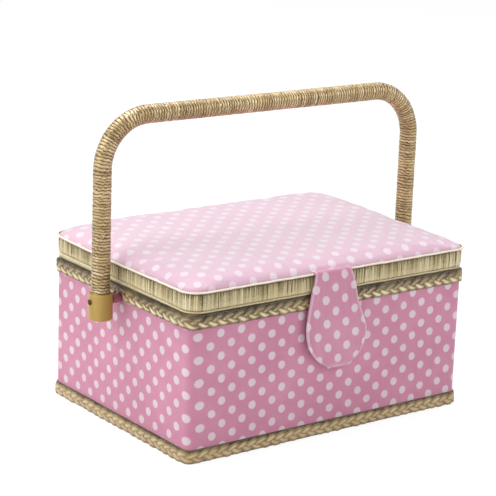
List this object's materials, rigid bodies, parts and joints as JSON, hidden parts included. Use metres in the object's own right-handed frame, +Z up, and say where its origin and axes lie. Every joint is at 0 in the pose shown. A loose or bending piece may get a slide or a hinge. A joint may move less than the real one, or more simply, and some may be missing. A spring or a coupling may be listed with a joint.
{
  "type": "sewing basket",
  "caption": "Cloth-covered sewing box with a padded hinged lid, closing tab, cord trims, a swinging wound handle and a lift-out tray.",
  "frame": {"origin": "middle of the underside, on the surface that the basket stands on", "axes": "+X to the right seen from the front, along the long side; +Y from the tab at the front to the hinges at the back; +Z up"},
  "size_m": [0.2944, 0.1838, 0.2296],
  "materials": {
    "bottom_sheet": "matt, black-brown faced card",
    "fibreboard": "raw fibreboard",
    "pine": "raw pine strip",
    "dotted_cloth": "pink plain-weave cotton with pale dots",
    "satin": "soft satin",
    "pocket_satin": "gathered satin",
    "wadding": "white wadding",
    "pincushion_cloth": "pink cotton with pale dots",
    "braided_cord": "golden twisted paper cord, plaited",
    "wound_cord": "golden paper cord, wound close",
    "piping": "pale golden twisted cord",
    "rattan": "raw rattan rod",
    "ferrule_plastic": "satin olive-gold plastic",
    "rivet_metal": "dark bronzed steel",
    "hinge_brass": "brass-plated steel",
    "disc_steel": "nickel-plated steel",
    "tray_plastic": "moulded off-white plastic"
  },
  "bodies": {
    "box": {"base_sheet": "bottom_sheet", "base_panel": "fibreboard", "front_board": "fibreboard", "back_board": "fibreboard", "left_board": "fibreboard", "right_board": "fibreboard", "rim_frame": "pine", "outer_cover": "dotted_cloth", "lining": "satin", "base_braid": "braided_cord", "rim_braid": "braided_cord", "tray_ledges": "fibreboard", "catch_disc": "disc_steel", "handle_spacers": "rivet_metal", "pivot_rivets": "rivet_metal", "hinge_box_leaves": "hinge_brass", "hinge_pins": "hinge_brass", "hinge_box_screws": "hinge_brass"},
    "lid": {"lid_frame": "pine", "lid_board": "fibreboard", "lid_band": "wound_cord", "lid_edge_cord": "wound_cord", "lid_piping": "piping", "lid_padding": "wadding", "lid_cloth": "dotted_cloth", "lid_lining": "satin", "lid_pocket": "pocket_satin", "pocket_elastic": "pocket_satin", "pincushion": "pincushion_cloth", "hinge_lid_leaves": "hinge_brass", "hinge_lid_screws": "hinge_brass"},
    "tab": {"closing_tab": "dotted_cloth", "tab_magnet": "disc_steel"},
    "handle": {"handle_core": "rattan", "handle_wrap": "wound_cord", "ferrule_left": "ferrule_plastic", "ferrule_right": "ferrule_plastic"},
    "tray": {"tray": "tray_plastic"}
  },
  "joints": [
    {"name": "lid_hinge", "type": "hinge", "parent": "box", "child": "lid", "pos_m": [0, 0.0885, 0.10515], "axis": [-1, 0, 0], "range_deg": [0, 40]},
    {"name": "tab_hinge", "type": "hinge", "parent": "lid", "child": "tab", "pos_m": [0, -0.09194, 0.12004], "axis": [-1, 0, 0], "range_deg": [0, 150]},
    {"name": "handle_swing", "type": "hinge", "parent": "box", "child": "handle", "pos_m": [0, 0, 0.0955], "axis": [1, 0, 0], "range_deg": [-120, 120]},
    {"name": "tray_lift", "type": "slide", "parent": "box", "child": "tray", "axis": [0, 0, 1], "range_m": [0, 0.0125]}
  ]
}
